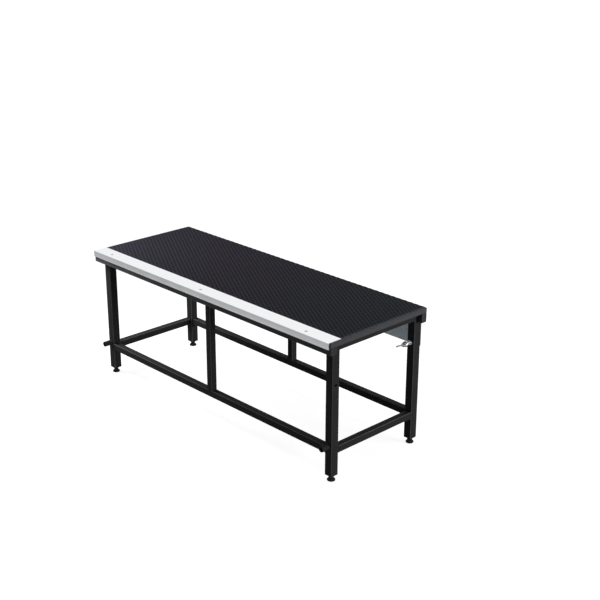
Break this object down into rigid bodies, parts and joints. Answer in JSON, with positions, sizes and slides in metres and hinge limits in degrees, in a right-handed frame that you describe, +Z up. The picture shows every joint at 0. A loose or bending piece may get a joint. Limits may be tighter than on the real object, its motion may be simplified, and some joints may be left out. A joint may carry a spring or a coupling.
{
  "type": "stage step module",
  "caption": "Stage stair module: anti-slip deck with aluminium nosing on a square tube frame, levelling feet and wing screws that join it to the next step.",
  "frame": {"origin": "on the floor under the middle of the deck", "axes": "+X along the nosing to the user's right when climbing, +Y from the nosing to the rear edge, +Z up"},
  "size_m": [1, 0.363, 0.4],
  "materials": {
    "painted_board": "dark grey painted plywood edge, satin",
    "anti_slip_covering": "dark charcoal anti-slip sheet with a fine raised mesh",
    "mill_aluminium": "extruded aluminium, fine satin",
    "galvanised_sheet": "galvanised sheet, dull blue-grey",
    "black_plastic": "moulded black plastic, matt",
    "black_rubber": "moulded black rubber, matt",
    "blackened_steel": "blackened steel, satin",
    "zinc_plated_steel": "bright zinc plating",
    "black_powder_coat": "black powder coating on steel tube, satin"
  },
  "bodies": {
    "module": {"apron_screw_left": "zinc_plated_steel", "apron_screw_right": "zinc_plated_steel", "coupling_boss_left": "black_powder_coat", "coupling_boss_right": "black_powder_coat", "coupling_spacer_left": "black_plastic", "coupling_spacer_right": "black_plastic", "deck_board": "painted_board", "deck_covering": "anti_slip_covering", "deck_screw_front_left": "zinc_plated_steel", "deck_screw_front_right": "zinc_plated_steel", "deck_screw_rear_left": "zinc_plated_steel", "deck_screw_rear_right": "zinc_plated_steel", "front_centre_post": "black_powder_coat", "front_lower_rail": "black_powder_coat", "front_rail_cap_left": "black_plastic", "front_rail_cap_right": "black_plastic", "front_upper_rail": "black_powder_coat", "left_lower_rail": "black_powder_coat", "left_upper_rail": "black_powder_coat", "leg_front_left": "black_powder_coat", "leg_front_right": "black_powder_coat", "leg_rear_left": "black_powder_coat", "leg_rear_right": "black_powder_coat", "lock_nut_front_left": "blackened_steel", "lock_nut_front_right": "blackened_steel", "lock_nut_rear_left": "blackened_steel", "lock_nut_rear_right": "blackened_steel", "nosing": "mill_aluminium", "nosing_screw_left": "blackened_steel", "nosing_screw_middle": "blackened_steel", "nosing_screw_right": "blackened_steel", "plug_front_left": "black_plastic", "plug_front_right": "black_plastic", "plug_rear_left": "black_plastic", "plug_rear_right": "black_plastic", "rear_apron": "galvanised_sheet", "rear_centre_post": "black_powder_coat", "rear_fascia": "painted_board", "rear_lower_rail": "black_powder_coat", "rear_rail_cap_left": "black_plastic", "rear_rail_cap_right": "black_plastic", "rear_upper_rail": "black_powder_coat", "right_lower_rail": "black_powder_coat", "right_upper_rail": "black_powder_coat", "weld_nut_left": "zinc_plated_steel", "weld_nut_right": "zinc_plated_steel"},
    "foot_pad_front_left": {"foot_pad_front_left": "black_rubber"},
    "foot_stud_front_left": {"foot_stud_front_left": "blackened_steel"},
    "foot_pad_front_right": {"foot_pad_front_right": "black_rubber"},
    "foot_stud_front_right": {"foot_stud_front_right": "blackened_steel"},
    "foot_pad_rear_left": {"foot_pad_rear_left": "black_rubber"},
    "foot_stud_rear_left": {"foot_stud_rear_left": "blackened_steel"},
    "foot_pad_rear_right": {"foot_pad_rear_right": "black_rubber"},
    "foot_stud_rear_right": {"foot_stud_rear_right": "blackened_steel"},
    "wing_washer_left": {"wing_washer_left": "zinc_plated_steel"},
    "wing_screw_left": {"wing_screw_left": "zinc_plated_steel"},
    "wing_washer_right": {"wing_washer_right": "zinc_plated_steel"},
    "wing_screw_right": {"wing_screw_right": "zinc_plated_steel"}
  },
  "joints": [
    {"name": "foot_extend_front_left", "type": "slide", "parent": "module", "child": "foot_pad_front_left", "axis": [0, 0, -1], "range_m": [0, 0.015]},
    {"name": "foot_turn_front_left", "type": "hinge", "parent": "foot_pad_front_left", "child": "foot_stud_front_left", "pos_m": [-0.4735, -0.143, 0], "axis": [0, 0, -1], "range_deg": [0, 4321]},
    {"name": "foot_extend_front_right", "type": "slide", "parent": "module", "child": "foot_pad_front_right", "axis": [0, 0, -1], "range_m": [0, 0.015]},
    {"name": "foot_turn_front_right", "type": "hinge", "parent": "foot_pad_front_right", "child": "foot_stud_front_right", "pos_m": [0.4735, -0.143, 0], "axis": [0, 0, -1], "range_deg": [0, 4321]},
    {"name": "foot_extend_rear_left", "type": "slide", "parent": "module", "child": "foot_pad_rear_left", "axis": [0, 0, -1], "range_m": [0, 0.015]},
    {"name": "foot_turn_rear_left", "type": "hinge", "parent": "foot_pad_rear_left", "child": "foot_stud_rear_left", "pos_m": [-0.4735, 0.1645, 0], "axis": [0, 0, -1], "range_deg": [0, 4321]},
    {"name": "foot_extend_rear_right", "type": "slide", "parent": "module", "child": "foot_pad_rear_right", "axis": [0, 0, -1], "range_m": [0, 0.015]},
    {"name": "foot_turn_rear_right", "type": "hinge", "parent": "foot_pad_rear_right", "child": "foot_stud_rear_right", "pos_m": [0.4735, 0.1645, 0], "axis": [0, 0, -1], "range_deg": [0, 4321]},
    {"name": "wing_advance_left", "type": "slide", "parent": "module", "child": "wing_washer_left", "axis": [0, 1, 0], "range_m": [0, 0.013]},
    {"name": "wing_turn_left", "type": "hinge", "parent": "wing_washer_left", "child": "wing_screw_left", "pos_m": [-0.4735, 0.13, 0.302], "axis": [0, 1, 0], "range_deg": [0, 3745]},
    {"name": "wing_advance_right", "type": "slide", "parent": "module", "child": "wing_washer_right", "axis": [0, 1, 0], "range_m": [0, 0.013]},
    {"name": "wing_turn_right", "type": "hinge", "parent": "wing_washer_right", "child": "wing_screw_right", "pos_m": [0.4735, 0.13, 0.302], "axis": [0, 1, 0], "range_deg": [0, 3745]}
  ],
  "couplings": [
    {"joint": "foot_turn_front_left", "follows": "foot_extend_front_left", "rad_per_m": 5026.5},
    {"joint": "foot_turn_front_right", "follows": "foot_extend_front_right", "rad_per_m": 5026.5},
    {"joint": "foot_turn_rear_left", "follows": "foot_extend_rear_left", "rad_per_m": 5026.5},
    {"joint": "foot_turn_rear_right", "follows": "foot_extend_rear_right", "rad_per_m": 5026.5},
    {"joint": "wing_turn_left", "follows": "wing_advance_left", "rad_per_m": 5026.5},
    {"joint": "wing_turn_right", "follows": "wing_advance_right", "rad_per_m": 5026.5}
  ]
}
